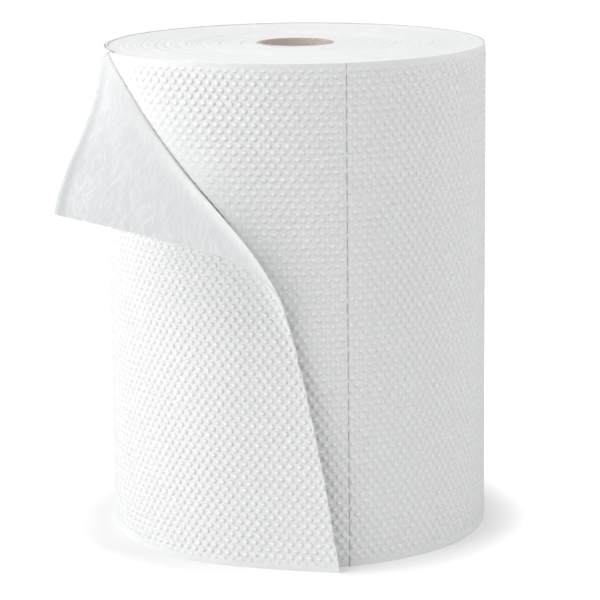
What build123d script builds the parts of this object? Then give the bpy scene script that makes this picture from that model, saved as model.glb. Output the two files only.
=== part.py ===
"""Roll of embossed nonwoven wipes on a cardboard core, standing on its end.

The web is one continuous sheet. Its last lap is loose: the tail stands off the roll at the
front, and the top corner of the tail is folded outwards and hangs to the left.

Frame: millimetres, +Z up along the winding axis, origin at the centre of the bottom end,
-Y towards the front, where the tail edge is.
"""

import os
from math import cos, degrees, hypot, pi, radians, sin

from build123d import *

# Driving dimensions of the roll
ROLL_RADIUS = 125.0
ROLL_WIDTH = 320.0
CORE_BORE_RADIUS = 22.5
CORE_WALL = 2.5

# The web and its loose last lap
SHEET_THICKNESS = 0.8
LAP_AIR_GAP = 0.3
TURN_SLACK = 0.15
LIFT_ANGLE = 254.0
TAIL_LENGTH = 60.5
TAIL_CURVE_RADIUS = 600.0

# The fold: where it starts on the top edge and where it ends on the tail edge
FOLD_TOP_ANGLE = 207.0
FOLD_END_RUN = 28.5
FOLD_DROP = 151.0
TAIL_EDGE_BOW = 3.0

# The folded corner: the curl that carries it, and how it bends back beyond the curl
CURL_RADIUS = 11.8
CURL_END_RADIUS = 3.0
CURL_START_ANGLE = 25.0
CURL_TURN_AT_TOP = 167.0
CURL_TURN_AT_END = 92.0
FLAP_BEND_RADIUS = 159.0
FLAP_END_HEIGHT = 2.0
FLAP_ROOT_DEPTH = 0.5
FLAP_ROOT_LAP = 1.2
FLAP_SECTIONS = 6

# Tear line across the web: cuts with short ties between them
TEAR_LINE_ANGLE = 284.5
TEAR_CUT_LENGTH = 8.8
TEAR_TIE_LENGTH = 1.4
TEAR_CUT_WIDTH = 0.5
TEAR_CUT_DEPTH = 0.5

# Turns that show as fine rings on both ends of the roll
TURN_RING_PITCH = 16.0
TURN_RING_WIDTH = 0.8
TURN_RING_DEPTH = 0.4

# Sizes that follow from the ones above
CORE_RADIUS = CORE_BORE_RADIUS + CORE_WALL
LAP_STEP = SHEET_THICKNESS + LAP_AIR_GAP
NEXT_TURN_RADIUS = ROLL_RADIUS - LAP_STEP
HALF_SHEET = SHEET_THICKNESS / 2
FOLD_TOP_RUN = radians(FOLD_TOP_ANGLE - LIFT_ANGLE) * ROLL_RADIUS
FOLD_RUN = FOLD_END_RUN - FOLD_TOP_RUN
FOLD_LENGTH = hypot(FOLD_RUN, FOLD_DROP)
TIP_SHARE = (FOLD_RUN / FOLD_LENGTH) ** 2
CORNER_DEPTH = FOLD_RUN * FOLD_DROP / FOLD_LENGTH
FRONT_REACH = ROLL_RADIUS + TAIL_LENGTH
UPRIGHT = (Align.CENTER, Align.CENTER, Align.MIN)


def around(angle: float) -> Vector:
    """Unit vector in plan, pointing out of the roll at an angle in degrees."""
    return Vector(cos(radians(angle)), sin(radians(angle)), 0)


def along(angle: float) -> Vector:
    """Unit vector in plan along the web, towards the tail, at an angle in degrees."""
    return around(angle + 90)


def lap_angle(run: float) -> float:
    """Angle, in degrees, of the last lap at a length along it, from where it lifts off."""
    return LIFT_ANGLE + degrees(run / (ROLL_RADIUS if run < 0 else TAIL_CURVE_RADIUS))


def lap_point(run: float, depth: float = 0) -> Vector:
    """Point in plan at a length along the last lap and a depth under its outer side."""
    radius = ROLL_RADIUS if run < 0 else TAIL_CURVE_RADIUS
    centre = around(LIFT_ANGLE) * (ROLL_RADIUS - radius)
    return centre + around(lap_angle(run)) * (radius - depth)


def tail_arc(depth: float) -> Edge:
    """Arc of the lifted tail, from where the lap leaves the roll to the tail edge."""
    return ThreePointArc(*[lap_point(TAIL_LENGTH * share, depth) for share in (0, 0.5, 1)])


def lap_spiral() -> list[Edge]:
    """One turn of the web in plan: four tangent quarter arcs that grow by one lap step."""
    growth = LAP_STEP / 4
    centre = Vector(0, 0, 0)
    radius = NEXT_TURN_RADIUS
    arcs = []
    for quarter in range(4):
        start = LIFT_ANGLE + 90 * quarter
        points = [centre + around(start + turn) * radius for turn in (0, 45, 90)]
        arcs.append(ThreePointArc(*points))
        centre -= around(start + 90) * growth
        radius += growth
    return arcs


def web_outline() -> Face:
    """Plan of the roll: the spiral, then the lifted tail out to its edge and back."""
    outer = tail_arc(0)
    inner = tail_arc(SHEET_THICKNESS)
    edge = Line(outer @ 1, inner @ 1)
    crotch = Line(inner @ 0, around(LIFT_ANGLE) * NEXT_TURN_RADIUS)
    return make_face([*lap_spiral(), outer, edge, inner, crotch])


def fold_run(share: float) -> float:
    """Length along the lap at a share of the fold, from the top edge (0) to the tail edge (1)."""
    return FOLD_TOP_RUN + share * FOLD_RUN


def peeled_corner() -> Part:
    """Room that the lap has left: above the fold and to the right of the tail edge."""
    points = []
    for share in (0, 0.25, 0.5, 0.75, 1):
        place = lap_point(fold_run(share) + FLAP_ROOT_LAP)
        points.append((place.X, 0, ROLL_WIDTH - share * FOLD_DROP))
    fold = Spline(*points)
    tail = lap_point(TAIL_LENGTH)
    end = fold @ 1
    foot = Vector(tail.X, 0, 0)
    middle = (end + foot) / 2 + Vector(TAIL_EDGE_BOW, 0, 0)
    edge = ThreePointArc(end, middle, foot)
    far, top = tail.X + LAP_STEP, ROLL_WIDTH + LAP_STEP
    rest = Polyline(foot, (far, 0, 0), (far, 0, top), ((fold @ 0).X, 0, top), fold @ 0)
    front = make_face([fold, edge, rest])
    return extrude(front, amount=FRONT_REACH, dir=(0, -1, 0))


def flap_section(share: float) -> Face:
    """Cut through the folded corner, square to the fold: root, curl and bent-back part."""
    rise = min(share / TIP_SHARE, (1 - share) / (1 - TIP_SHARE))
    curl = CURL_END_RADIUS + (CURL_RADIUS - CURL_END_RADIUS) * sin(pi * share)
    first = radians(CURL_START_ANGLE)
    last = radians(CURL_TURN_AT_TOP + share * (CURL_TURN_AT_END - CURL_TURN_AT_TOP))
    length = max(rise * CORNER_DEPTH - curl * (last - first), FLAP_END_HEIGHT)
    heart = Vector(-curl * sin(first), curl * cos(first))
    far_heart = heart + Vector(sin(last), -cos(last)) * (curl + FLAP_BEND_RADIUS)
    back = last - length / FLAP_BEND_RADIUS

    def on_curl(turn: float, side: float) -> Vector:
        return heart + Vector(sin(turn), -cos(turn)) * (curl + side)

    def on_flap(turn: float, side: float) -> Vector:
        return far_heart - Vector(sin(turn), -cos(turn)) * (FLAP_BEND_RADIUS - side)

    curl_turns = (first, (first + last) / 2, last)
    flap_turns = (last, (last + back) / 2, back)
    outer = ThreePointArc(*[on_curl(turn, HALF_SHEET) for turn in curl_turns])
    outer_flap = ThreePointArc(*[on_flap(turn, HALF_SHEET) for turn in flap_turns])
    inner_flap = ThreePointArc(*[on_flap(turn, -HALF_SHEET) for turn in reversed(flap_turns)])
    inner = ThreePointArc(*[on_curl(turn, -HALF_SHEET) for turn in reversed(curl_turns)])
    edge = Line(outer_flap @ 1, inner_flap @ 0)
    section = make_face([outer, outer_flap, edge, inner_flap, inner, Line(inner @ 1, outer @ 0)])
    run = fold_run(share)
    forward, up = along(lap_angle(run)), Vector(0, 0, 1)
    foot = lap_point(run, FLAP_ROOT_DEPTH) + up * (ROLL_WIDTH - share * FOLD_DROP)
    across = (forward * FOLD_DROP + up * FOLD_RUN) / FOLD_LENGTH
    down = (forward * FOLD_RUN - up * FOLD_DROP) / FOLD_LENGTH
    return Plane(origin=foot, x_dir=across, z_dir=down) * section


def folded_corner() -> list[Part]:
    """The corner of the tail, folded outwards: two ruled halves that meet at its tip."""
    steps = [i / (FLAP_SECTIONS - 1) for i in range(FLAP_SECTIONS)]
    upper = [TIP_SHARE * step for step in steps]
    lower = [TIP_SHARE + (1 - TIP_SHARE) * step for step in steps]
    return [loft([flap_section(s) for s in half], ruled=True) for half in (upper, lower)]


def tear_line() -> list[Part]:
    """Row of short cuts through the outer turn, with ties left between them."""
    pitch = TEAR_CUT_LENGTH + TEAR_TIE_LENGTH
    count = int(ROLL_WIDTH // pitch)
    first = (ROLL_WIDTH - (count - 1) * pitch) / 2
    cut = Box(2 * TEAR_CUT_DEPTH, TEAR_CUT_WIDTH, TEAR_CUT_LENGTH)
    turn = Rot(0, 0, TEAR_LINE_ANGLE)
    return [turn * Pos(NEXT_TURN_RADIUS, 0, first + i * pitch) * cut for i in range(count)]


def turn_rings() -> list[Part]:
    """Fine grooves between the turns on the two ends of the roll."""
    count = int((NEXT_TURN_RADIUS - CORE_RADIUS) // TURN_RING_PITCH)
    half = TURN_RING_WIDTH / 2
    rings = []
    for i in range(count):
        radius = NEXT_TURN_RADIUS - TURN_RING_PITCH * (i + 0.5)
        for z, depth in ((0, TURN_RING_DEPTH), (ROLL_WIDTH, -TURN_RING_DEPTH)):
            groove = Polyline(
                (radius - half, 0, z), (radius, 0, z + depth), (radius + half, 0, z), close=True
            )
            rings.append(revolve(make_face(groove), axis=Axis.Z))
    return rings


def wound_web() -> Part:
    """The wound web: every turn, the lifted tail and the folded corner, as one solid."""
    inner_turns = Cylinder(NEXT_TURN_RADIUS - TURN_SLACK, ROLL_WIDTH, align=UPRIGHT)
    web = extrude(web_outline(), amount=ROLL_WIDTH) - peeled_corner() + inner_turns
    web -= Cylinder(CORE_RADIUS, ROLL_WIDTH, align=UPRIGHT)
    web -= turn_rings()
    web -= tear_line()
    return web + folded_corner()


def core_tube() -> Part:
    """The cardboard tube inside the web, cut flush with both ends of the roll."""
    outside = Cylinder(CORE_RADIUS, ROLL_WIDTH, align=UPRIGHT)
    return outside - Cylinder(CORE_BORE_RADIUS, ROLL_WIDTH, align=UPRIGHT)


os.makedirs("parts", exist_ok=True)
for name, shape in {"wound_web": wound_web(), "core_tube": core_tube()}.items():
    export_step(shape, f"parts/{name}.step")
    print(name, len(shape.solids()), "solid,", round(shape.volume / 1000), "cm3")
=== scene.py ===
"""Studio scene of a standing roll of embossed nonwoven wipes on a cardboard core.

The web is laid out flat, as wipes that lie end to end between tear lines, and wound on to the
roll by a formula. The last wipe is loose: its tail stands off the roll and its top corner is
folded outwards. Units are metres, in the frame of the loaded model: +Z along the winding axis
and -Y to the front. A run is a length along the web, counted from where the tail lifts off.
"""

import logging
import math
from dataclasses import dataclass
from enum import Enum
from typing import ClassVar

import bpy
import numpy as np
from mathutils import Euler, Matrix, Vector


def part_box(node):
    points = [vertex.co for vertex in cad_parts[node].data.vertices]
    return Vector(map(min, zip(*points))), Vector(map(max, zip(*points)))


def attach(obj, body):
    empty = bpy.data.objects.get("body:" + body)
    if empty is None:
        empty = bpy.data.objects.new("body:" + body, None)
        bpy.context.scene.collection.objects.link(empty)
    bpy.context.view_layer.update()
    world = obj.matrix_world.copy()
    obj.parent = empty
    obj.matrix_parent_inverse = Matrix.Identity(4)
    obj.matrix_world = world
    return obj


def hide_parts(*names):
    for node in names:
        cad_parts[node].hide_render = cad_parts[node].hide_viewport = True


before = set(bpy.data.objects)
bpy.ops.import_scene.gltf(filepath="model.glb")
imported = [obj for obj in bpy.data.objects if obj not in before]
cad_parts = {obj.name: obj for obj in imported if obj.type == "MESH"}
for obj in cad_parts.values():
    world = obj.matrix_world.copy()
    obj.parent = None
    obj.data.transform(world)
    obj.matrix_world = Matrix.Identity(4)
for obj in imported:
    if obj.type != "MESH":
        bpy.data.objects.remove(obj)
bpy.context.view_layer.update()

LOG = logging.getLogger("wipe_roll")
BODY = "root"
WEB_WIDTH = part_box("core_tube")[1].z
CORE_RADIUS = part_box("core_tube")[1].x
FLAT_ATTRIBUTE = "flat"
UNDERSIDE_ATTRIBUTE = "underside"
PAINTED_HIGHLIGHT_ATTRIBUTE = "painted_highlight"
FLAT_UV = "flat_uv"
UP = np.array([0.0, 0.0, 1.0])

Colour = tuple[float, float, float, float]
Place = tuple[float, float, float]


class Hold(Enum):
    """How a wipe is held on the roll."""

    WOUND = "stretched"
    FOLDED = "folded"


class Slot(Enum):
    """Material slots of the record."""

    WEB = "web"
    CORE = "core"


def smooth_step(low: float, high: float, value: np.ndarray) -> np.ndarray:
    """Eased ramp from 0 at low to 1 at high.

    Args:
        low: Value where the ramp starts.
        high: Value where the ramp ends.
        value: Values to ease.

    Returns:
        The eased values.
    """
    share = np.clip((value - low) / (high - low), 0.0, 1.0)
    return share * share * (3.0 - 2.0 * share)


def around(angle: np.ndarray) -> np.ndarray:
    """Unit vectors in plan that point out of the roll.

    Args:
        angle: Plan angles in radians.

    Returns:
        One row of X, Y, Z for each angle.
    """
    return np.stack([np.cos(angle), np.sin(angle), np.zeros_like(angle)], axis=-1)


def ring_faces(points: int, segments: int) -> list[list[int]]:
    """Faces of a closed profile that goes round the winding axis.

    Args:
        points: Points of the profile.
        segments: Steps round the axis.

    Returns:
        The quads, where each point of the profile has its segments in one stretch.
    """
    index = np.arange(points * segments).reshape(points, segments)
    after = np.roll(index, -1, axis=0)
    corners = (index, after, np.roll(after, -1, axis=1), np.roll(index, -1, axis=1))
    return np.stack(corners, axis=-1).reshape(-1, 4).tolist()


def put_in_scene(mesh: bpy.types.Mesh) -> bpy.types.Object:
    """Shades a mesh smooth and puts it in the scene.

    Args:
        mesh: The mesh.

    Returns:
        The new object, named like the mesh.
    """
    mesh.polygons.foreach_set("use_smooth", np.ones(len(mesh.polygons), dtype=bool))
    piece = bpy.data.objects.new(mesh.name, mesh)
    bpy.context.collection.objects.link(piece)
    return piece


def settle(piece: bpy.types.Object, node: str) -> None:
    """Lets a piece ride on the body and stand for a node, whose part is hidden.

    Args:
        piece: The finished piece.
        node: The node that it stands for.
    """
    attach(piece, BODY)
    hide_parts(node)


class Wiring:
    """Adds nodes to a node tree and links them."""

    def __init__(self, tree: bpy.types.NodeTree) -> None:
        """Keeps the tree that the nodes go into."""
        self.tree = tree

    def add(self, kind: str, **settings: object) -> bpy.types.Node:
        """Adds one node.

        Args:
            kind: Blender's type name of the node.
            settings: Properties to set on it.

        Returns:
            The new node.
        """
        node = self.tree.nodes.new(kind)
        for key, value in settings.items():
            setattr(node, key, value)
        return node

    def feed(self, socket: bpy.types.NodeSocket, value: object) -> None:
        """Links a socket to another, or sets its value.

        Args:
            socket: The input to feed.
            value: An output socket, or a plain value.
        """
        if isinstance(value, bpy.types.NodeSocket):
            self.tree.links.new(value, socket)
        else:
            socket.default_value = value

    def math(self, operation: str, *values: object) -> bpy.types.NodeSocket:
        """Adds a Math node.

        Args:
            operation: The sum to do.
            values: Sockets or numbers to do it with.

        Returns:
            The node's output.
        """
        node = self.add("ShaderNodeMath", operation=operation)
        for socket, value in zip(node.inputs, values):
            self.feed(socket, value)
        return node.outputs[0]

    def square(self, value: object) -> bpy.types.NodeSocket:
        """Square of a socket or number."""
        return self.math("MULTIPLY", value, value)

    def turn_share(self, across: object, deep: object) -> bpy.types.NodeSocket:
        """Angle about the winding axis, at a place in plan, as a share of a turn."""
        return self.math("DIVIDE", self.math("ARCTAN2", deep, across), math.tau)

    def ramp(self, value: object, low: float, high: float) -> bpy.types.NodeSocket:
        """Adds an eased ramp from 0 at low to 1 at high.

        Args:
            value: Socket to ease.
            low: Value where the ramp starts.
            high: Value where the ramp ends.

        Returns:
            The eased value.
        """
        node = self.add("ShaderNodeMapRange", interpolation_type="SMOOTHSTEP")
        for key, item in (("Value", value), ("From Min", low), ("From Max", high)):
            self.feed(node.inputs[key], item)
        return node.outputs["Result"]


def dot_offsets(
    wire: Wiring, run: object, high: object, dot_pitch: object, row_pitch: object
) -> tuple[bpy.types.NodeSocket, bpy.types.NodeSocket]:
    """Offsets of a point of the flat web from the nearest of its staggered dots.

    Args:
        wire: The nodes to add to.
        run: Length along the web.
        high: Height across the web.
        dot_pitch: Distance between the dots of a row.
        row_pitch: Distance between the rows.

    Returns:
        The offsets along and across the web.
    """
    row = wire.math("ROUND", wire.math("DIVIDE", high, row_pitch))
    off_row = wire.math("SUBTRACT", high, wire.math("MULTIPLY", row, row_pitch))
    stagger = wire.math("MULTIPLY", wire.math("FLOORED_MODULO", row, 2.0), 0.5)
    column = wire.math("ADD", wire.math("DIVIDE", run, dot_pitch), stagger)
    off_dot = wire.math("SUBTRACT", column, wire.math("ROUND", column))
    return wire.math("MULTIPLY", off_dot, dot_pitch), off_row


def dot_square(
    wire: Wiring, off_dot: object, off_row: object, half_width: object, half_height: object
) -> bpy.types.NodeSocket:
    """Square of the distance from a dot's middle, as a share of its size.

    Args:
        wire: The nodes to add to.
        off_dot: Offset along the web.
        off_row: Offset across the web.
        half_width: Half of the dot's size along the web.
        half_height: Half of the dot's size across the web.

    Returns:
        The square, 1 at the rim of the dot.
    """
    across = wire.math("DIVIDE", off_dot, half_width)
    upward = wire.math("DIVIDE", off_row, half_height)
    return wire.math("ADD", wire.square(across), wire.square(upward))


@dataclass(frozen=True)
class FibreGroup:
    """Shader node group for matted fibres, shared by the web and the cardboard."""

    name: str = "matted_fibres"
    directions: tuple[float, ...] = (92.0, 78.0, 110.0)
    stretch: float = 8.0
    detail: float = 3.0
    noise_roughness: float = 0.6
    fibre_range: tuple[float, float] = (0.42, 0.78)
    cloud_share: float = 0.06
    cloud_range: tuple[float, float] = (0.3, 0.7)

    def build(self) -> bpy.types.NodeTree:
        """Builds the group.

        Returns:
            The group, with inputs Vector and Scale and outputs Fibre and Cloud, from 0 to 1.
        """
        tree = bpy.data.node_groups.new(self.name, "ShaderNodeTree")
        face = tree.interface
        face.new_socket("Vector", in_out="INPUT", socket_type="NodeSocketVector")
        face.new_socket("Scale", in_out="INPUT", socket_type="NodeSocketFloat")
        face.new_socket("Fibre", in_out="OUTPUT", socket_type="NodeSocketFloat")
        face.new_socket("Cloud", in_out="OUTPUT", socket_type="NodeSocketFloat")
        wire = Wiring(tree)
        given = wire.add("NodeGroupInput").outputs
        result = wire.add("NodeGroupOutput").inputs
        fibre: object = 0.0
        for degrees in self.directions:
            turned = wire.add("ShaderNodeMapping", vector_type="TEXTURE")
            wire.feed(turned.inputs["Vector"], given["Vector"])
            turned.inputs["Rotation"].default_value = (0.0, 0.0, math.radians(degrees))
            turned.inputs["Scale"].default_value = (1.0, self.stretch, 1.0)
            noise = wire.add("ShaderNodeTexNoise")
            wire.feed(noise.inputs["Vector"], turned.outputs["Vector"])
            wire.feed(noise.inputs["Scale"], given["Scale"])
            noise.inputs["Detail"].default_value = self.detail
            noise.inputs["Roughness"].default_value = self.noise_roughness
            fibre = wire.math("MAXIMUM", fibre, noise.outputs["Fac"])
        cloud = wire.add("ShaderNodeTexNoise")
        wire.feed(cloud.inputs["Vector"], given["Vector"])
        wire.feed(cloud.inputs["Scale"], wire.math("MULTIPLY", given["Scale"], self.cloud_share))
        wire.feed(result["Fibre"], wire.ramp(fibre, *self.fibre_range))
        wire.feed(result["Cloud"], wire.ramp(cloud.outputs["Fac"], *self.cloud_range))
        return tree


@dataclass(frozen=True)
class DotGroup:
    """Shader node group for the crisp crowns of the pressed dots, on the flat web."""

    dot_pitch: float
    row_pitch: float
    half_width: float = 0.0020
    half_height: float = 0.0018
    roundness: float = 0.7
    name: str = "pressed_dots"

    def build(self) -> bpy.types.NodeTree:
        """Builds the group.

        Returns:
            The group, with input Flat, for run, height and share of the relief, and output
            Crown, from 0 between the dots to 1 on a dot.
        """
        tree = bpy.data.node_groups.new(self.name, "ShaderNodeTree")
        tree.interface.new_socket("Flat", in_out="INPUT", socket_type="NodeSocketVector")
        tree.interface.new_socket("Crown", in_out="OUTPUT", socket_type="NodeSocketFloat")
        wire = Wiring(tree)
        place = wire.add("ShaderNodeSeparateXYZ")
        wire.feed(place.inputs[0], wire.add("NodeGroupInput").outputs["Flat"])
        run, high, share = place.outputs
        off_dot, off_row = dot_offsets(wire, run, high, self.dot_pitch, self.row_pitch)
        square = dot_square(wire, off_dot, off_row, self.half_width, self.half_height)
        left = wire.math("MAXIMUM", wire.math("SUBTRACT", 1.0, square), 0.0)
        crown = wire.math("MULTIPLY", wire.math("POWER", left, self.roundness), share)
        wire.feed(wire.add("NodeGroupOutput").inputs["Crown"], crown)
        return tree


@dataclass(frozen=True)
class FibreFinish:
    """A finish of matted fibres: colours, roughness and relief."""

    name: str
    deep: Colour
    raised: Colour
    fibre_scale: float
    relief: float
    roughness: float = 0.9
    specular: float = 0.2
    sheen: float = 0.25
    sheen_roughness: float = 0.6
    fibre_tint: float = 0.65
    cloud_tint: float = 0.12
    glow: float = 0.0
    glow_reach: float = 0.0015
    on_flat: bool = True

    def build(self, fibres: bpy.types.NodeTree) -> bpy.types.Material:
        """Builds the material.

        Args:
            fibres: The shared group for matted fibres.

        Returns:
            The material.
        """
        material = bpy.data.materials.new(self.name)
        material.use_nodes = True
        wire = Wiring(material.node_tree)
        shader = material.node_tree.nodes["Principled BSDF"]
        group = wire.add("ShaderNodeGroup", node_tree=fibres)
        wire.feed(group.inputs["Vector"], self.coordinates(wire))
        group.inputs["Scale"].default_value = self.fibre_scale
        wire.feed(shader.inputs["Base Color"], self.colour(wire, group))
        bump = wire.add("ShaderNodeBump")
        bump.inputs["Strength"].default_value = 1.0
        bump.inputs["Distance"].default_value = self.relief
        wire.feed(bump.inputs["Height"], self.height(wire, group))
        wire.feed(shader.inputs["Normal"], bump.outputs["Normal"])
        shader.inputs["Roughness"].default_value = self.roughness
        shader.inputs["Specular IOR Level"].default_value = self.specular
        shader.inputs["Sheen Weight"].default_value = self.sheen
        shader.inputs["Sheen Roughness"].default_value = self.sheen_roughness
        shader.inputs["Subsurface Weight"].default_value = self.glow
        shader.inputs["Subsurface Radius"].default_value = (1.0, 1.0, 1.0)
        shader.inputs["Subsurface Scale"].default_value = self.glow_reach
        return material

    def coordinates(self, wire: Wiring) -> bpy.types.NodeSocket:
        """Coordinates of the pattern: flat on the web, or the piece's own.

        Args:
            wire: The material's nodes.

        Returns:
            The vector to place the pattern by.
        """
        if self.on_flat:
            return wire.add("ShaderNodeUVMap", uv_map=FLAT_UV).outputs["UV"]
        return wire.add("ShaderNodeTexCoord").outputs["Object"]

    def colour(self, wire: Wiring, group: bpy.types.Node) -> bpy.types.NodeSocket:
        """Colour between the deep and the raised fibres.

        Args:
            wire: The material's nodes.
            group: The node of the shared group.

        Returns:
            The colour.
        """
        clouded = wire.math("MULTIPLY", group.outputs["Cloud"], self.cloud_tint)
        matted = wire.math("MULTIPLY", group.outputs["Fibre"], self.fibre_tint)
        share = wire.math("ADD", matted, clouded)
        mix = wire.add("ShaderNodeMix", data_type="RGBA", clamp_factor=True)
        wire.feed(mix.inputs[0], share)
        mix.inputs[6].default_value = self.deep
        mix.inputs[7].default_value = self.raised
        return mix.outputs[2]

    def height(self, wire: Wiring, group: bpy.types.Node) -> bpy.types.NodeSocket:
        """Height of the fibres, for the bump; the material's nodes and the group's node go in."""
        return group.outputs["Fibre"]


@dataclass(frozen=True)
class EmbossedFinish(FibreFinish):
    """The outside of the web, where pressed dots stand crisp among the fibres."""

    dots: bpy.types.NodeTree | None = None
    crown: float = 8.0
    crown_tint: Colour = (0.94, 0.943, 0.942, 1.0)
    crown_share: float = 0.8

    def crowns(self, wire: Wiring) -> bpy.types.NodeSocket:
        """Crowns of the dots.

        Args:
            wire: The material's nodes.

        Returns:
            The crowns, from 0 between the dots to 1 on a dot.
        """
        flat = wire.add("ShaderNodeAttribute", attribute_name=FLAT_ATTRIBUTE)
        dots = wire.add("ShaderNodeGroup", node_tree=self.dots)
        wire.feed(dots.inputs["Flat"], flat.outputs["Vector"])
        return dots.outputs["Crown"]

    def colour(self, wire: Wiring, group: bpy.types.Node) -> bpy.types.NodeSocket:
        """Colour of the fibres, whiter on the crowns of the dots.

        Args:
            wire: The material's nodes.
            group: The node of the shared group for fibres.

        Returns:
            The colour.
        """
        mix = wire.add("ShaderNodeMix", data_type="RGBA", clamp_factor=True)
        wire.feed(mix.inputs[0], wire.math("MULTIPLY", self.crowns(wire), self.crown_share))
        wire.feed(mix.inputs[6], super().colour(wire, group))
        mix.inputs[7].default_value = self.crown_tint
        return mix.outputs[2]

    def height(self, wire: Wiring, group: bpy.types.Node) -> bpy.types.NodeSocket:
        """Height of the dots' crowns and of the fibres on them.

        Args:
            wire: The material's nodes.
            group: The node of the shared group for fibres.

        Returns:
            The height.
        """
        raised = wire.math("MULTIPLY", self.crowns(wire), self.crown)
        return wire.math("ADD", raised, group.outputs["Fibre"])


@dataclass(frozen=True)
class UndersideFinish(FibreFinish):
    """The smooth side of the web, painted a darker grey than the outside as painted shade, with a
    painted dark line of shade just inside its edges and a painted highlight along the fold.
    """

    # Painted shade: a dark line just inside the top and bottom edges, where a curled edge would be
    # shaded.
    edge_shade: Colour = (0.44, 0.455, 0.465, 1.0)
    # Painted highlight: the whiter tint on the crest of the fold and beside it.
    highlight_tint: Colour = (0.93, 0.935, 0.94, 1.0)
    edge_shade_width: float = 0.008
    edge_width: float = 0.0032
    edge_shade_share: float = 0.85

    def colour(self, wire: Wiring, group: bpy.types.Node) -> bpy.types.NodeSocket:
        """Colour of the fibres, with the painted shade inside the edges and the painted highlight
        along the fold.

        Args:
            wire: The material's nodes.
            group: The node of the shared group.

        Returns:
            The colour.
        """
        place = wire.add("ShaderNodeSeparateXYZ")
        wire.feed(place.inputs[0], self.coordinates(wire))
        high = place.outputs["Y"]
        # Painted shade in a band just inside the top and bottom edges.
        inwards = wire.math("MINIMUM", high, wire.math("SUBTRACT", WEB_WIDTH, high))
        band = wire.ramp(inwards, self.edge_shade_width, self.edge_width)
        band = wire.math("MULTIPLY", band, wire.ramp(inwards, 0.0, self.edge_width))
        edge_shaded = wire.math("MULTIPLY", band, self.edge_shade_share)
        # Painted highlight along the fold, read from the points.
        painted_highlight = wire.add("ShaderNodeAttribute", attribute_name=PAINTED_HIGHLIGHT_ATTRIBUTE).outputs["Fac"]
        colour = super().colour(wire, group)
        for share, tint in ((edge_shaded, self.edge_shade), (painted_highlight, self.highlight_tint)):
            mix = wire.add("ShaderNodeMix", data_type="RGBA")
            wire.feed(mix.inputs[0], share)
            wire.feed(mix.inputs[6], colour)
            mix.inputs[7].default_value = tint
            colour = mix.outputs[2]
        return colour


@dataclass(frozen=True)
class EdgeFinish(FibreFinish):
    """The cut ends of the roll, where the edges of the wound turns show as fine rings."""

    turn_pitch: float = 0.0011
    ring_share: float = 0.8

    def rings(self, wire: Wiring) -> bpy.types.NodeSocket:
        """Rings of the spiral about the winding axis, from 0 between turns to 1 on a turn.

        Args:
            wire: The material's nodes.

        Returns:
            The rings.
        """
        place = wire.add("ShaderNodeSeparateXYZ")
        wire.feed(place.inputs[0], wire.add("ShaderNodeTexCoord").outputs["Object"])
        across, deep = place.outputs["X"], place.outputs["Y"]
        radius = wire.math("SQRT", wire.math("ADD", wire.square(across), wire.square(deep)))
        turns = wire.math("DIVIDE", radius, self.turn_pitch)
        laps = wire.math("SUBTRACT", turns, wire.turn_share(across, deep))
        return wire.math("PINGPONG", laps, 0.5)

    def height(self, wire: Wiring, group: bpy.types.Node) -> bpy.types.NodeSocket:
        """Height of the turns and of the fibres on them.

        Args:
            wire: The material's nodes.
            group: The node of the shared group.

        Returns:
            The height.
        """
        rings = wire.math("MULTIPLY", self.rings(wire), self.ring_share)
        return wire.math("ADD", rings, group.outputs["Fibre"])


@dataclass(frozen=True)
class CardboardFinish(FibreFinish):
    """Uncoated board of the core, wound from a strip whose seam runs round the bore."""

    strip_lead: float = 0.082
    seam_share: float = 0.03
    seam_depth: float = 1.5

    def height(self, wire: Wiring, group: bpy.types.Node) -> bpy.types.NodeSocket:
        """Height of the fibres, less the seam of the wound strip.

        Args:
            wire: The material's nodes.
            group: The node of the shared group.

        Returns:
            The height.
        """
        place = wire.add("ShaderNodeSeparateXYZ")
        wire.feed(place.inputs[0], wire.add("ShaderNodeTexCoord").outputs["Object"])
        across, deep, high = place.outputs
        strips = wire.math("DIVIDE", high, self.strip_lead)
        laps = wire.math("ADD", strips, wire.turn_share(across, deep))
        seam = wire.ramp(wire.math("PINGPONG", laps, 0.5), 0.0, self.seam_share)
        return wire.math("ADD", wire.math("MULTIPLY", seam, self.seam_depth), group.outputs["Fibre"])


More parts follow.
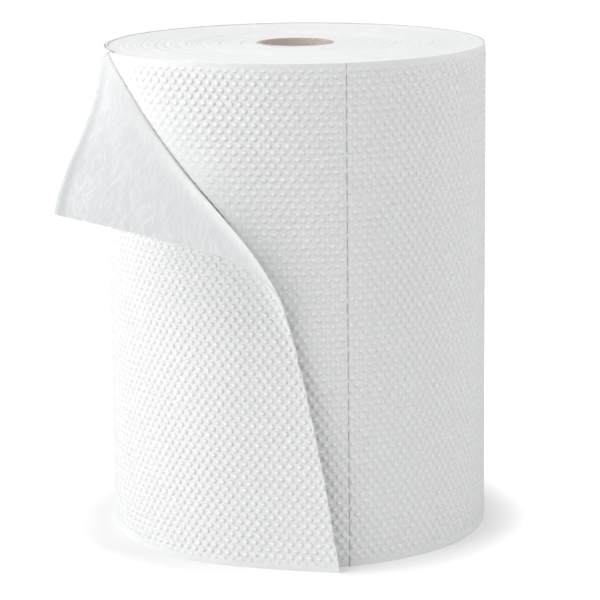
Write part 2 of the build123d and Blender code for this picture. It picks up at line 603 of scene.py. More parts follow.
@dataclass(frozen=True)
class Emboss:
    """Rows of staggered dots pressed into the web, raised on its outside."""

    dot_pitch: float
    row_pitch: float
    dot_half_width: float = 0.0023
    dot_half_height: float = 0.0020
    relief: float = 0.0006
    dome: float = 0.1

    def tree(self) -> bpy.types.NodeTree:
        """Builds the Geometry Nodes tree that raises the dots on a wipe.

        Returns:
            The tree, with named inputs for the sizes and the two materials.
        """
        tree = bpy.data.node_groups.new("raise_dots", "GeometryNodeTree")
        face = tree.interface
        face.new_socket("Geometry", in_out="INPUT", socket_type="NodeSocketGeometry")
        for name in ("Dot Pitch", "Row Pitch", "Half Width", "Half Height", "Relief"):
            face.new_socket(name, in_out="INPUT", socket_type="NodeSocketFloat")
        for name in ("Outside", "Underside"):
            face.new_socket(name, in_out="INPUT", socket_type="NodeSocketMaterial")
        face.new_socket("Geometry", in_out="OUTPUT", socket_type="NodeSocketGeometry")
        wire = Wiring(tree)
        given = wire.add("NodeGroupInput").outputs
        raised = wire.add("GeometryNodeSetPosition")
        wire.feed(raised.inputs["Geometry"], given["Geometry"])
        lift = wire.add("ShaderNodeVectorMath", operation="SCALE")
        wire.feed(lift.inputs[0], wire.add("GeometryNodeInputNormal").outputs["Normal"])
        wire.feed(lift.inputs["Scale"], self.height(wire, given))
        wire.feed(raised.inputs["Offset"], lift.outputs[0])
        real = wire.add("GeometryNodeRealizeInstances")
        wire.feed(real.inputs["Geometry"], raised.outputs["Geometry"])
        outside = wire.add("GeometryNodeSetMaterial")
        wire.feed(outside.inputs["Geometry"], real.outputs["Geometry"])
        wire.feed(outside.inputs["Material"], given["Outside"])
        under = wire.add("GeometryNodeSetMaterial")
        wire.feed(under.inputs["Geometry"], outside.outputs["Geometry"])
        chosen = wire.add("GeometryNodeInputNamedAttribute", data_type="BOOLEAN")
        chosen.inputs["Name"].default_value = UNDERSIDE_ATTRIBUTE
        wire.feed(under.inputs["Selection"], chosen.outputs["Attribute"])
        wire.feed(under.inputs["Material"], given["Underside"])
        wire.feed(wire.add("NodeGroupOutput").inputs["Geometry"], under.outputs["Geometry"])
        return tree

    def height(self, wire: Wiring, given: bpy.types.bpy_prop_collection) -> bpy.types.NodeSocket:
        """Height of the dots at a point of the flat web.

        Args:
            wire: The tree's nodes.
            given: The tree's inputs.

        Returns:
            The height in metres.
        """
        flat = wire.add("GeometryNodeInputNamedAttribute", data_type="FLOAT_VECTOR")
        flat.inputs["Name"].default_value = FLAT_ATTRIBUTE
        place = wire.add("ShaderNodeSeparateXYZ")
        wire.feed(place.inputs[0], flat.outputs["Attribute"])
        run, high, share = place.outputs
        off_dot, off_row = dot_offsets(wire, run, high, given["Dot Pitch"], given["Row Pitch"])
        square = dot_square(wire, off_dot, off_row, given["Half Width"], given["Half Height"])
        dot = wire.ramp(wire.math("SQRT", square), 1.0, self.dome)
        return wire.math("MULTIPLY", wire.math("MULTIPLY", dot, given["Relief"]), share)

    def apply(
        self, piece: bpy.types.Object, outside: bpy.types.Material, underside: bpy.types.Material
    ) -> None:
        """Raises the dots on a wipe and leaves it a plain mesh.

        Args:
            piece: The wipe, with its flat places stored on its points.
            outside: Material of the embossed side and the edges.
            underside: Material of the smooth side.
        """
        tree = bpy.data.node_groups.get("raise_dots") or self.tree()
        values = {
            "Dot Pitch": self.dot_pitch,
            "Row Pitch": self.row_pitch,
            "Half Width": self.dot_half_width,
            "Half Height": self.dot_half_height,
            "Relief": self.relief,
            "Outside": outside,
            "Underside": underside,
        }
        modifier = piece.modifiers.new("dots", "NODES")
        modifier.node_group = tree
        for item in tree.interface.items_tree:
            if item.in_out == "INPUT" and item.name in values:
                modifier[item.identifier] = values[item.name]
        evaluated = piece.evaluated_get(bpy.context.evaluated_depsgraph_get())
        smooth_mesh = piece.data
        piece.data = bpy.data.meshes.new_from_object(evaluated)
        piece.modifiers.remove(modifier)
        bpy.data.meshes.remove(smooth_mesh)
        piece.data.name = piece.name


@dataclass(frozen=True)
class Winding:
    """Plan of the spiral that the web follows, and of the tail that leaves it."""

    roll_radius: float = 0.125
    lap_step: float = 0.0011
    lift_angle: float = math.radians(254.0)
    tail_curve_radius: float = 0.6

    def place(self, run: np.ndarray, height: np.ndarray) -> tuple[np.ndarray, np.ndarray]:
        """Places points of the flat web on the roll, or on the lifted tail.

        Args:
            run: Lengths along the web from where the tail lifts off.
            height: Heights across the web.

        Returns:
            The points, and the unit vectors out of the web there.
        """
        turned = run / self.roll_radius
        radius = self.roll_radius + self.lap_step * turned / math.tau
        wound_out = around(self.lift_angle + turned)
        tail_out = around(self.lift_angle + run / self.tail_curve_radius)
        pivot = around(np.array(self.lift_angle)) * (self.roll_radius - self.tail_curve_radius)
        wound = wound_out * radius[..., None]
        tail = pivot + tail_out * self.tail_curve_radius
        lifted = (run > 0.0)[..., None]
        points = np.where(lifted, tail, wound) + UP * height[..., None]
        return points, np.where(lifted, tail_out, wound_out)


@dataclass(frozen=True)
class CornerFold:
    """The soft fold that turns the top corner of the last wipe outwards, and its torn end.

    The fold flares at the top edge and runs straight to the torn end. From there it follows the
    torn end to its foot, as a narrow hem that only just turns up.
    """

    top_run: float = -0.1063
    end_run: float = 0.0287
    end_height: float = 0.1651
    foot_run: float = 0.0606
    edge_bow: float = 0.0022
    hem: float = 0.002
    blend: float = 0.0304
    curl_at_top: float = 0.003
    curl: float = 0.0118
    opening_rate: float = 1.6
    turn_at_top: float = math.radians(167.0)
    turn_at_end: float = math.radians(91.5)
    relax: float = -6.29
    crest_turn: float = 1.4
    crest_width: float = 0.7
    crest_reach: float = 0.05
    crest_highlight: float = 0.65
    beside_highlight: float = 0.3
    flare: float = 0.012
    flare_drop: float = 0.015
    cling_turn: float = math.radians(84.0)
    cling_fall: float = 0.045
    cling_end: float = 0.075
    lip: float = 0.0008
    lip_length: float = 0.075
    lip_drop: float = 0.11

    def torn_end(self, height: np.ndarray) -> np.ndarray:
        """Runs of the torn end of the web, which goes askew, and a little bowed, under the fold.

        Args:
            height: Heights across the web.

        Returns:
            The runs.
        """
        under = np.clip(1.0 - height / self.end_height, 0.0, 1.0)
        bowed = 4.0 * self.edge_bow * under * (1.0 - under)
        return self.end_run + (self.foot_run - self.end_run) * under + bowed

    def loosen(self, run: np.ndarray, height: np.ndarray) -> np.ndarray:
        """How far the lap stands off the roll at the top edge, near the start of the fold.

        Args:
            run: Lengths along the web.
            height: Heights across the web.

        Returns:
            The stand-off.
        """
        near = np.exp(-(((run - self.top_run) / self.lip_length) ** 2))
        return self.lip * near * smooth_step(WEB_WIDTH - self.lip_drop, WEB_WIDTH, height)

    def reach(
        self, run: np.ndarray, height: np.ndarray
    ) -> tuple[np.ndarray, np.ndarray, np.ndarray]:
        """How far points lie past the fold, and the way across it.

        Args:
            run: Lengths along the web.
            height: Heights across the web.

        Returns:
            The distances, and the two parts of the unit vectors across the fold: along the
            web and up.
        """
        drop = WEB_WIDTH - self.end_height
        length = math.hypot(self.end_run - self.top_run, drop)
        fold_run, fold_up = drop / length, (self.end_run - self.top_run) / length
        past_fold = (run - self.top_run) * fold_run + (height - WEB_WIDTH) * fold_up
        foot_drop = WEB_WIDTH - height + np.maximum(past_fold, 0.0) * fold_up
        past_fold = past_fold + self.flare * np.exp(-foot_drop / self.flare_drop)
        skew = self.foot_run - self.end_run
        slant = math.hypot(skew, self.end_height)
        hem_run, hem_up = self.end_height / slant, skew / slant
        past_hem = (run - self.foot_run + self.hem) * hem_run + height * hem_up
        share = np.clip(0.5 + 0.5 * (past_fold - past_hem) / self.blend, 0.0, 1.0)
        past = past_hem + (past_fold - past_hem) * share + self.blend * share * (1.0 - share)
        across = hem_run + (fold_run - hem_run) * share
        upward = hem_up + (fold_up - hem_up) * share
        size = np.hypot(across, upward)
        return np.maximum(past / size, 0.0), across / size, upward / size

    def curl_at(self, height: np.ndarray) -> tuple[np.ndarray, np.ndarray]:
        """Shape of the curl along the fold, which opens from the top edge to the torn end.

        Args:
            height: Heights where the points leave the roll.

        Returns:
            The radii of the curl, and the angles that it turns through.
        """
        share = np.clip((WEB_WIDTH - height) / (WEB_WIDTH - self.end_height), 0.0, 1.0)
        opened = np.sin(np.minimum(self.opening_rate * share, 1.0) * math.pi / 2)
        radius = self.curl_at_top + (self.curl - self.curl_at_top) * opened
        return radius, self.turn_at_top + (self.turn_at_end - self.turn_at_top) * share

    def painted_highlight(self, run: np.ndarray, height: np.ndarray) -> np.ndarray:
        """Share of the painted highlight along the fold: most on the crest of the curl, less beside
        it.

        Args:
            run: Lengths along the web.
            height: Heights across the web.

        Returns:
            Shares from 0 to 1.
        """
        past, _, across_up = self.reach(run, height)
        radius, _ = self.curl_at(height - past * across_up)
        crest = np.exp(-(((past / radius - self.crest_turn) / self.crest_width) ** 2))
        beside = np.exp(-((past / self.crest_reach) ** 2))
        return self.crest_highlight * crest + self.beside_highlight * beside

    def cling(self, run: np.ndarray, height: np.ndarray, thickness: float) -> np.ndarray:
        """How far the turn under the fold is lifted, where it clings to the curl and falls back.

        Args:
            run: Lengths along the web, as of the last lap over the points.
            height: Heights across the web.
            thickness: Thickness of the web.

        Returns:
            The lifts.
        """
        past, _, across_up = self.reach(run, height)
        foot_height = height - past * across_up
        radius = self.curl_at(foot_height)[0] + thickness
        above_end = smooth_step(self.end_height, self.end_height + self.cling_end, foot_height)
        hold = radius * np.sin(self.cling_turn * above_end)
        under = radius - np.sqrt(radius**2 - np.minimum(past, hold) ** 2)
        held = 1.0 - smooth_step(0.0, self.cling_fall, past - hold)
        return under * held

    def place(
        self, winding: Winding, run: np.ndarray, height: np.ndarray
    ) -> tuple[np.ndarray, np.ndarray]:
        """Places points of the last wipe, with its corner folded.

        Args:
            winding: The spiral under the fold.
            run: Lengths along the web.
            height: Heights across the web.

        Returns:
            The points, and the unit vectors out of the embossed side there.
        """
        past, across_run, across_up = self.reach(run, height)
        foot_run, foot_height = run - past * across_run, height - past * across_up
        foot, out = winding.place(foot_run, foot_height)
        foot = foot + out * self.loosen(foot_run, foot_height)[..., None]
        across = np.cross(UP, out) * across_run[..., None] + UP * across_up[..., None]
        curl, turn = self.curl_at(foot_height)
        bent = np.minimum(past / curl, turn)
        flat = np.maximum(past - curl * turn, 0.0)
        eased = turn + self.relax * flat
        over = curl * np.sin(bent) + (np.sin(eased) - np.sin(turn)) / self.relax
        away = curl * (1.0 - np.cos(bent)) + (np.cos(turn) - np.cos(eased)) / self.relax
        points = foot + across * over[..., None] + out * away[..., None]
        lean = bent + self.relax * flat
        outward = out * np.cos(lean)[..., None] - across * np.sin(lean)[..., None]
        return points, outward


@dataclass
class Wipe:
    """One wipe of the web, from tear line to tear line."""

    name: str
    start: float
    winding: Winding
    hold: Hold
    fold: CornerFold | None = None
    fold_over: CornerFold | None = None
    length: float = 0.38973
    thickness: float = 0.0009
    dots_along: int = 65
    dots_across: int = 76
    steps_per_dot: int = 4
    plain_band: tuple[float, float] = (0.00315, 0.00585)
    plain_at_tear: float = 0.0012
    drawn_lift: float = 0.015
    cut: float = 0.0071
    tie: float = 0.0031
    slit: float = 0.0008
    askew_from: float = -0.02
    tail_nap: float = 0.0004
    tear_seed: int = 7
    border_angle: float = math.radians(55.0)

    @property
    def columns(self) -> int:
        """Steps of the mesh along the web."""
        return self.dots_along * self.steps_per_dot

    @property
    def rows(self) -> int:
        """Steps of the mesh across the web."""
        return self.dots_across * self.steps_per_dot

    def emboss(self) -> Emboss:
        """Dots that fit the wipe a whole number of times."""
        return Emboss(self.length / self.dots_along, WEB_WIDTH / self.dots_across)

    def flat_grid(self) -> tuple[np.ndarray, np.ndarray]:
        """Lays the mesh out flat, with cuts at the tear lines and the torn end of the tail.

        Returns:
            Runs and heights, one row of the arrays for each column of the mesh.
        """
        steps = np.linspace(self.start, self.start + self.length, self.columns + 1)
        high = np.linspace(0.0, WEB_WIDTH, self.rows + 1)
        run, height = np.meshgrid(steps, high, indexing="ij")
        cut = np.where(high % (self.cut + self.tie) < self.cut, self.slit / 2, 0.0)
        run[0] += cut
        if self.fold is None:
            run[-1] -= cut
        else:
            run = self.trim_tail(run, height)
        return run, height

    def trim_tail(self, run: np.ndarray, height: np.ndarray) -> np.ndarray:
        """Draws the last columns in to the torn edge, which runs askew under the fold.

        Args:
            run: Runs of the mesh.
            height: Heights of the mesh.

        Returns:
            The runs, with the last column on the torn edge.
        """
        foot = self.start + self.length
        draw = np.random.default_rng(self.tear_seed)
        torn = draw.normal(0.0, self.tail_nap, height.shape[1])
        edge = self.fold.torn_end(height) + np.minimum(torn, 0.0)
        share = np.clip((run - self.askew_from) / (foot - self.askew_from), 0.0, 1.0)
        drawn_in = self.askew_from + share * (edge - self.askew_from)
        return np.where(run > self.askew_from, drawn_in, run)

    def lift(self, run: np.ndarray, height: np.ndarray) -> np.ndarray:
        """How far a fold in the lap over the wipe lifts it off the roll.

        Args:
            run: Runs of the mesh.
            height: Heights of the mesh.

        Returns:
            The lifts, all nought where no fold lies over the wipe.
        """
        if self.fold_over is None:
            return np.zeros(run.shape)
        lap_run = run + math.tau * self.winding.roll_radius
        return self.fold_over.cling(lap_run, height, self.thickness)

    def dot_share(self, run: np.ndarray, height: np.ndarray) -> np.ndarray:
        """Share of the full relief: none along the edges and tear lines, less where it is lifted.

        Args:
            run: Runs of the mesh.
            height: Heights of the mesh.

        Returns:
            Shares from 0 to 1.
        """
        edge = np.minimum(height, WEB_WIDTH - height)
        tear = np.minimum(run - run[0].min(), run[-1] - run)
        band = smooth_step(*self.plain_band, edge)
        drawn = 1.0 - smooth_step(0.0, self.drawn_lift, self.lift(run, height))
        return band * smooth_step(0.0, self.plain_at_tear, tear) * drawn

    def surface(self, run: np.ndarray, height: np.ndarray) -> tuple[np.ndarray, np.ndarray]:
        """Places the embossed side of the wipe, before the dots.

        Args:
            run: Runs of the mesh.
            height: Heights of the mesh.

        Returns:
            The points, and the unit vectors out of the wipe there.
        """
        if self.fold is not None:
            return self.fold.place(self.winding, run, height)
        points, out = self.winding.place(run, height)
        return points + out * self.lift(run, height)[..., None], out

    def make_mesh(self, run: np.ndarray, height: np.ndarray) -> bpy.types.Mesh:
        """Makes the wipe a closed thin sheet that knows its flat places, before the dots.

        Args:
            run: Runs of the mesh.
            height: Heights of the mesh.

        Returns:
            The mesh.
        """
        points, out = self.surface(run, height)
        inner = points[::2, ::2] - out[::2, ::2] * self.thickness
        share = self.dot_share(run, height)
        share[[0, -1]] = 0.0
        share[:, [0, -1]] = 0.0
        flat = np.stack([run, height, share], axis=-1)
        under = flat[::2, ::2] * np.array([1.0, 1.0, 0.0])
        # Shares of the painted highlight along the fold, for the colour of the smooth side.
        painted_highlight = np.zeros(run.shape) if self.fold is None else self.fold.painted_highlight(run, height)
        quads, triangles, under_count = self.faces()
        mesh = bpy.data.meshes.new(self.name)
        places = np.concatenate([points.reshape(-1, 3), inner.reshape(-1, 3)])
        mesh.from_pydata(places, [], quads + triangles)
        flats = np.concatenate([flat.reshape(-1, 3), under.reshape(-1, 3)]).astype(np.float32)
        attribute = mesh.attributes.new(FLAT_ATTRIBUTE, "FLOAT_VECTOR", "POINT")
        attribute.data.foreach_set("vector", flats.ravel())
        painted_highlights = np.concatenate([painted_highlight.ravel(), painted_highlight[::2, ::2].ravel()])
        attribute = mesh.attributes.new(PAINTED_HIGHLIGHT_ATTRIBUTE, "FLOAT", "POINT")
        attribute.data.foreach_set("value", painted_highlights.astype(np.float32))
        smooth_side = np.zeros(len(mesh.polygons), dtype=bool)
        smooth_side[self.columns * self.rows : self.columns * self.rows + under_count] = True
        attribute = mesh.attributes.new(UNDERSIDE_ATTRIBUTE, "BOOLEAN", "FACE")
        attribute.data.foreach_set("value", smooth_side)
        corners = np.empty(len(mesh.loops), dtype=np.int32)
        mesh.loops.foreach_get("vertex_index", corners)
        uv = mesh.uv_layers.new(name=FLAT_UV)
        uv.data.foreach_set("uv", flats[corners, :2].ravel())
        return mesh

    def build(self, outside: bpy.types.Material, underside: bpy.types.Material) -> bpy.types.Object:
        """Args:
            outside: Material of the embossed side.
            underside: Material of the smooth side.

        Returns:
            The finished piece.
        """
        run, height = self.flat_grid()
        piece = put_in_scene(self.make_mesh(run, height))
        self.emboss().apply(piece, outside, underside)
        piece.data.set_sharp_from_angle(angle=self.border_angle)
        self.declare(piece)
        return piece

    def faces(self) -> tuple[list[tuple[int, ...]], list[tuple[int, ...]], int]:
        """Faces of the sheet: a fine outside, an underside half as fine, and the edges.

        Returns:
            Quads of both sides, triangles of the edges, and how many quads the underside has.
        """
        fine = np.arange((self.columns + 1) * (self.rows + 1)).reshape(self.columns + 1, -1)
        count = (self.columns // 2 + 1) * (self.rows // 2 + 1)
        coarse = np.arange(count).reshape(self.columns // 2 + 1, -1) + fine.size
        outer = np.stack([fine[:-1, :-1], fine[1:, :-1], fine[1:, 1:], fine[:-1, 1:]], axis=-1)
        inner = np.stack(
            [coarse[:-1, :-1], coarse[:-1, 1:], coarse[1:, 1:], coarse[1:, :-1]], axis=-1
        )
        quads = outer.reshape(-1, 4).tolist() + inner.reshape(-1, 4).tolist()
        sides = (
            (fine[:, 0], coarse[:, 0], False),
            (fine[:, -1], coarse[:, -1], True),
            (fine[0], coarse[0], True),
            (fine[-1], coarse[-1], False),
        )
        triangles = []
        for edge, back, turned in sides:
            first, middle, last = edge[:-1:2], edge[1::2], edge[2::2]
            near, far = back[:-1], back[1:]
            for trio in ((first, near, middle), (middle, near, far), (middle, far, last)):
                ordered = trio[::-1] if turned else trio
                triangles += np.stack(ordered, axis=-1).tolist()
        return quads, triangles, inner.shape[0] * inner.shape[1]

    def declare(self, piece: bpy.types.Object) -> None:
        """Ties the wipe to the model: its body and the node it stands for.

        Args:
            piece: The finished wipe.
        """
        settle(piece, "wound_web")


@dataclass
class WoundTurns:
    """The wound turns under the wipes that show, with the edges of the turns at both ends."""

    winding: Winding
    outer_run: float
    step_angle: float
    name: ClassVar[str] = "wound_turns"
    turn_pitch: float = 0.0011
    segments: int = 180
    inset: float = 0.0004
    proud_share: float = 0.7
    ridge: float = 0.00008
    turn_shift: float = 0.0001
    drift: float = 0.00008
    drift_span: int = 9
    most_waves: int = 4
    top_seed: int = 3
    foot_seed: int = 4
    step_width: float = math.radians(12.0)
    bore_gap: float = 0.0001

    def rim(self, angle: np.ndarray) -> np.ndarray:
        """Radius of the last hidden turn, with an eased step where the spiral starts again.

        Args:
            angle: Plan angles from the step, from 0 to one turn.

        Returns:
            The radii.
        """
        turns_out = self.outer_run / self.winding.roll_radius / math.tau - 1.0
        start = self.winding.roll_radius + self.winding.lap_step * turns_out
        grown = self.winding.lap_step * angle / math.tau
        back = smooth_step(math.tau - self.step_width, math.tau, angle)
        return start + grown - self.winding.lap_step * back

    def end_heights(self, rings: int, angle: np.ndarray, seed: int) -> np.ndarray:
        """How far the edges of the turns stand below the end of the roll.

        Args:
            rings: Number of rings of the mesh, two for each turn.
            angle: Plan angles of the mesh.
            seed: Seed of the irregular winding.

        Returns:
            One row of depths for each ring.
        """
        draw = np.random.default_rng(seed)
        turns = rings // 2 + 1
        shift = draw.normal(0.0, self.turn_shift, turns)
        rough = draw.normal(0.0, self.drift, turns + self.drift_span - 1)
        drift = np.convolve(rough, np.ones(self.drift_span) / math.sqrt(self.drift_span), "valid")
        phase = draw.uniform(0.0, math.tau, turns)
        waves = draw.integers(1, self.most_waves + 1, turns)
        level = np.repeat(shift + drift, 2)[:rings]
        sway = np.repeat(np.sin(waves[:, None] * angle + phase[:, None]), 2, axis=0)[:rings]
        groove = np.where(np.arange(rings) % 2 == 0, 0.0, 2.0 * self.ridge)
        depth = level[:, None] + self.turn_shift * sway + groove[:, None]
        return self.inset + np.maximum(depth, -self.inset * self.proud_share)

    def build(self, finish: bpy.types.Material) -> bpy.types.Object:
        """Builds the turns as one closed ring.

        Args:
            finish: Material of the cut edges.

        Returns:
            The finished piece.
        """
        bore = CORE_RADIUS + self.bore_gap
        turned = np.linspace(0.0, math.tau, self.segments, endpoint=False)
        angle = turned + self.step_angle
        rim = self.rim(turned)
        rings = 2 * int((rim.mean() - bore) / self.turn_pitch)
        share = np.linspace(0.0, 1.0, rings)[:, None]
        radius = bore + share * (rim - bore)
        flat = around(angle) * radius[..., None]
        high = WEB_WIDTH - self.end_heights(rings, angle, self.top_seed)
        low = np.maximum(self.end_heights(rings, angle, self.foot_seed), 0.0)
        top, foot = (flat + UP * level[..., None] for level in (high, low))
        loop = np.concatenate([top, foot[::-1]])
        mesh = bpy.data.meshes.new(self.name)
        mesh.from_pydata(loop.reshape(-1, 3), [], ring_faces(len(loop), self.segments))
        mesh.materials.append(finish)
        piece = put_in_scene(mesh)
        settle(piece, "wound_web")
        return piece


@dataclass
class CoreTube:
    """The cardboard tube, with the plies of its wall at the ends and worn, rounded rims."""

    bore_radius: float = 0.0225
    plies: int = 4
    ply_flat: tuple[float, float] = (0.3, 0.75)
    ply_groove: float = 0.00025
    rim_round: float = 0.0005
    rim_bend: tuple[float, float] = (0.3, 0.2)
    segments: int = 128
    border_angle: float = math.radians(40.0)
    name: ClassVar[str] = "board_core"

    def end_profile(self) -> list[tuple[float, float]]:
        """Profile of one end of the wall, from the bore outwards.

        Returns:
            Pairs of radius and depth below the end.
        """
        ply = (CORE_RADIUS - self.bore_radius) / self.plies
        bend_out, bend_down = (share * self.rim_round for share in self.rim_bend)
        profile = [(self.bore_radius, self.rim_round), (self.bore_radius + bend_out, bend_down)]
        for number in range(self.plies):
            inside = self.bore_radius + number * ply
            profile += [(inside + share * ply, 0.0) for share in self.ply_flat]
            if number < self.plies - 1:
                profile.append((inside + ply, self.ply_groove))
        profile.append((CORE_RADIUS, self.rim_round))
        return profile

    def build(self, finish: bpy.types.Material) -> bpy.types.Object:
        """Builds the tube.

        Args:
            finish: Material of the board.

        Returns:
            The finished piece.
        """
        end = self.end_profile()
        loop = [(radius, WEB_WIDTH - depth) for radius, depth in end]
        loop += [(radius, depth) for radius, depth in reversed(end)]
        angle = np.linspace(0.0, math.tau, self.segments, endpoint=False)
        radius, high = (np.array(side)[:, None] for side in zip(*loop))
        points = around(angle)[None] * radius[..., None] + UP * high[..., None]
        mesh = bpy.data.meshes.new(self.name)
        mesh.from_pydata(points.reshape(-1, 3), [], ring_faces(len(loop), self.segments))
        mesh.materials.append(finish)
        piece = put_in_scene(mesh)
        mesh.set_sharp_from_angle(angle=self.border_angle)
        settle(piece, "core_tube")
        return piece


@dataclass
class WipeRoll:
    """The roll: the core, the wound turns, and the three wipes that end the web."""

    winding: Winding
    fold: CornerFold

    def finishes(self, emboss: Emboss) -> dict[str, bpy.types.Material]:
        """Makes the materials of the web and the core.

        Args:
            emboss: The dots of the wipes.

        Returns:
            The materials, by name.
        """
        fibres = FibreGroup().build()
        made = (
            EmbossedFinish(
                "nonwoven_outside",
                deep=(0.83, 0.84, 0.84, 1.0),
                raised=(0.91, 0.915, 0.915, 1.0),
                fibre_scale=900.0,
                relief=0.0001,
                glow=0.3,
                dots=DotGroup(emboss.dot_pitch, emboss.row_pitch).build(),
            ),
            # The smooth side is painted a darker grey than the outside: painted shade of the
            # turned-out flap, which shows this side.
            UndersideFinish(
                "nonwoven_underside_painted_shade",
                deep=(0.53, 0.545, 0.555, 1.0),
                raised=(0.72, 0.73, 0.74, 1.0),
                fibre_scale=420.0,
                relief=0.00014,
                glow=1.0,
                glow_reach=0.003,
            ),
            EdgeFinish(
                "nonwoven_edges",
                deep=(0.83, 0.84, 0.84, 1.0),
                raised=(0.91, 0.915, 0.915, 1.0),
                fibre_scale=700.0,
                relief=0.00008,
                on_flat=False,
            ),
            CardboardFinish(
                "core_board",
                deep=(0.54, 0.48, 0.43, 1.0),
                raised=(0.72, 0.665, 0.61, 1.0),
                fibre_scale=800.0,
                relief=0.0001,
                sheen=0.0,
                on_flat=False,
            ),
        )
        return {finish.name: finish.build(fibres) for finish in made}

    def build(self) -> list[bpy.types.Object]:
        """Builds every piece of the roll, from the core outwards.

        Returns:
            The finished pieces.
        """
        starts = [self.fold.foot_run - number * Wipe.length for number in (1, 2, 3)]
        last = Wipe("end_wipe", starts[0], self.winding, Hold.FOLDED, fold=self.fold)
        second = Wipe("second_wipe", starts[1], self.winding, Hold.WOUND)
        third = Wipe("third_wipe", starts[2], self.winding, Hold.WOUND, fold_over=self.fold)
        finish = self.finishes(last.emboss())
        step_angle = self.winding.lift_angle + third.start / self.winding.roll_radius
        turns = WoundTurns(self.winding, third.start, step_angle)
        pieces = [CoreTube().build(finish["core_board"]), turns.build(finish["nonwoven_edges"])]
        for wipe in (third, second, last):
            pieces.append(wipe.build(finish["nonwoven_outside"], finish["nonwoven_underside_painted_shade"]))
        return pieces


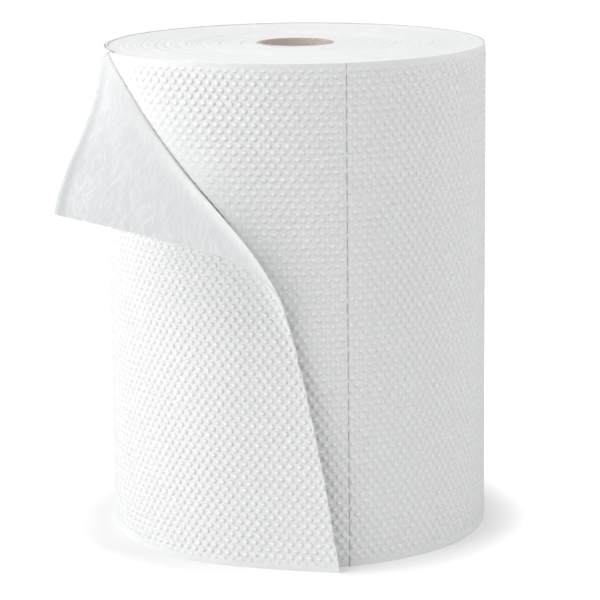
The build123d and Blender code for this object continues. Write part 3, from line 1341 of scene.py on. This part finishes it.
@dataclass
class Studio:
    """White floor, soft light from the left, and the camera."""

    floor_radius: float = 16.0
    floor_colour: Colour = (0.9, 0.9, 0.9, 1.0)
    white: Colour = (1.0, 1.0, 1.0, 1.0)
    ambient: float = 0.27
    floor_lift: float = 0.77
    painted_shade_lift: float = 0.03
    painted_shade_reach: tuple[float, float] = (0.12, 0.205)
    painted_shade_centre: Place = (-0.008, -0.014, 0.0)
    key_power: float = 42.0
    key_size: float = 2.2
    key_distance: float = 2.2
    key_angle: float = math.radians(197.0)
    key_elevation: float = math.radians(28.0)
    top_power: float = 9.0
    top_size: float = 1.2
    top_place: Place = (0.0, -0.1, 2.1)
    front_power: float = 3.0
    front_size: float = 1.2
    front_place: Place = (-0.5, -1.1, 1.7)
    fill_power: float = 15.5
    fill_size: float = 1.0
    fill_place: Place = (1.7, -0.55, 1.2)
    camera_distance: float = 1.737
    camera_elevation: float = math.radians(11.5)
    camera_roll: float = math.radians(-0.6)
    lens: float = 156.4
    sensor: float = 36.0
    shift_across: float = 0.004
    shift_up: float = -0.031
    view_reach: float = 64.0

    def backdrop_rays(self, wire: Wiring) -> bpy.types.NodeSocket:
        """Share of the rays that see the backdrop itself: camera, gloss and transmission.

        Args:
            wire: The nodes of the floor's material or of the world.

        Returns:
            1 for such a ray and 0 for the rest.
        """
        rays = wire.add("ShaderNodeLightPath").outputs
        seen = wire.math("MAXIMUM", rays["Is Camera Ray"], rays["Is Glossy Ray"])
        return wire.math("MAXIMUM", seen, rays["Is Transmission Ray"])

    def build_floor(self) -> None:
        """Makes the pale floor, which keeps the soft shadow at the foot of the roll, and whose white
        glow is dimmed in a disc round the foot as painted shade.
        """
        mesh = bpy.data.meshes.new("floor")
        half = self.floor_radius
        corners = [(-half, -half, 0.0), (half, -half, 0.0), (half, half, 0.0), (-half, half, 0.0)]
        mesh.from_pydata(corners, [], [(0, 1, 2, 3)])
        material = bpy.data.materials.new("white_floor")
        material.use_nodes = True
        wire = Wiring(material.node_tree)
        shader = material.node_tree.nodes["Principled BSDF"]
        shader.inputs["Base Color"].default_value = self.floor_colour
        shader.inputs["Roughness"].default_value = 1.0
        shader.inputs["Specular IOR Level"].default_value = 0.0
        shader.inputs["Emission Color"].default_value = self.white
        # The glow is low in a disc round the foot: painted shade, on top of the real shadow there.
        apart = wire.add("ShaderNodeVectorMath", operation="DISTANCE")
        wire.feed(apart.inputs[0], wire.add("ShaderNodeTexCoord").outputs["Object"])
        apart.inputs[1].default_value = self.painted_shade_centre
        far = wire.ramp(apart.outputs["Value"], *self.painted_shade_reach)
        grown = wire.math("MULTIPLY", far, self.floor_lift - self.painted_shade_lift)
        lift = wire.math("ADD", grown, self.painted_shade_lift)
        lifted = wire.math("MULTIPLY", self.backdrop_rays(wire), lift)
        wire.feed(shader.inputs["Emission Strength"], lifted)
        mesh.materials.append(material)
        floor = bpy.data.objects.new("floor", mesh)
        bpy.context.collection.objects.link(floor)

    def build_light(self) -> None:
        """Makes the world's even light, the key at the left, two lights above and the fill."""
        world = bpy.data.worlds.new("studio")
        world.use_nodes = True
        bpy.context.scene.world = world
        wire = Wiring(world.node_tree)
        even = world.node_tree.nodes["Background"]
        even.inputs["Color"].default_value = self.white
        even.inputs["Strength"].default_value = self.ambient
        white = wire.add("ShaderNodeBackground")
        white.inputs["Strength"].default_value = 1.0
        mix = wire.add("ShaderNodeMixShader")
        wire.feed(mix.inputs[0], self.backdrop_rays(wire))
        wire.feed(mix.inputs[1], even.outputs[0])
        wire.feed(mix.inputs[2], white.outputs[0])
        wire.feed(world.node_tree.nodes["World Output"].inputs["Surface"], mix.outputs[0])
        level = self.key_distance * math.cos(self.key_elevation)
        rise = self.key_distance * math.sin(self.key_elevation)
        beside = (level * math.cos(self.key_angle), level * math.sin(self.key_angle), rise)
        self.add_lamp("key", self.key_power, self.key_size, beside)
        self.add_lamp("top", self.top_power, self.top_size, self.top_place)
        self.add_lamp("front", self.front_power, self.front_size, self.front_place)
        self.add_lamp("fill", self.fill_power, self.fill_size, self.fill_place)

    def add_lamp(self, name: str, power: float, size: float, place: Place) -> None:
        """Adds a square softbox that faces the middle of the roll.

        Args:
            name: Name of the lamp.
            power: Power in watts.
            size: Side of the square.
            place: Place from the middle of the roll.
        """
        lamp = bpy.data.lights.new(name, "AREA")
        lamp.energy = power
        lamp.size = size
        softbox = bpy.data.objects.new(name, lamp)
        softbox.location = Vector(place) + Vector((0.0, 0.0, WEB_WIDTH / 2))
        softbox.rotation_euler = (-Vector(place)).to_track_quat("-Z", "Y").to_euler()
        bpy.context.collection.objects.link(softbox)

    def build_camera(self) -> None:
        """Makes the camera at the photograph's angle."""
        lens = bpy.data.cameras.new("camera")
        lens.lens = self.lens
        lens.sensor_width = self.sensor
        lens.shift_x, lens.shift_y = self.shift_across, self.shift_up
        lens.clip_end = self.view_reach
        camera = bpy.data.objects.new("camera", lens)
        level = self.camera_distance * math.cos(self.camera_elevation)
        rise = self.camera_distance * math.sin(self.camera_elevation)
        camera.location = (0.0, -level, WEB_WIDTH / 2 + rise)
        tilt = Euler((math.pi / 2 - self.camera_elevation, 0.0, 0.0)).to_quaternion()
        turn = Euler((0.0, 0.0, self.camera_roll)).to_quaternion()
        camera.rotation_mode = "QUATERNION"
        camera.rotation_quaternion = tilt @ turn
        bpy.context.collection.objects.link(camera)
        bpy.context.scene.camera = camera

    def build(self) -> None:
        """Makes the whole studio."""
        bpy.context.scene.view_settings.view_transform = "Standard"
        self.build_floor()
        self.build_light()
        self.build_camera()


def main() -> None:
    """Builds the roll and its studio, and reports each piece."""
    logging.basicConfig(level=logging.INFO, format="%(name)s: %(message)s")
    for piece in WipeRoll(Winding(), CornerFold()).build():
        LOG.info("%s: %d faces", piece.name, len(piece.data.polygons))
    Studio().build()


if __name__ == "__main__":
    main()
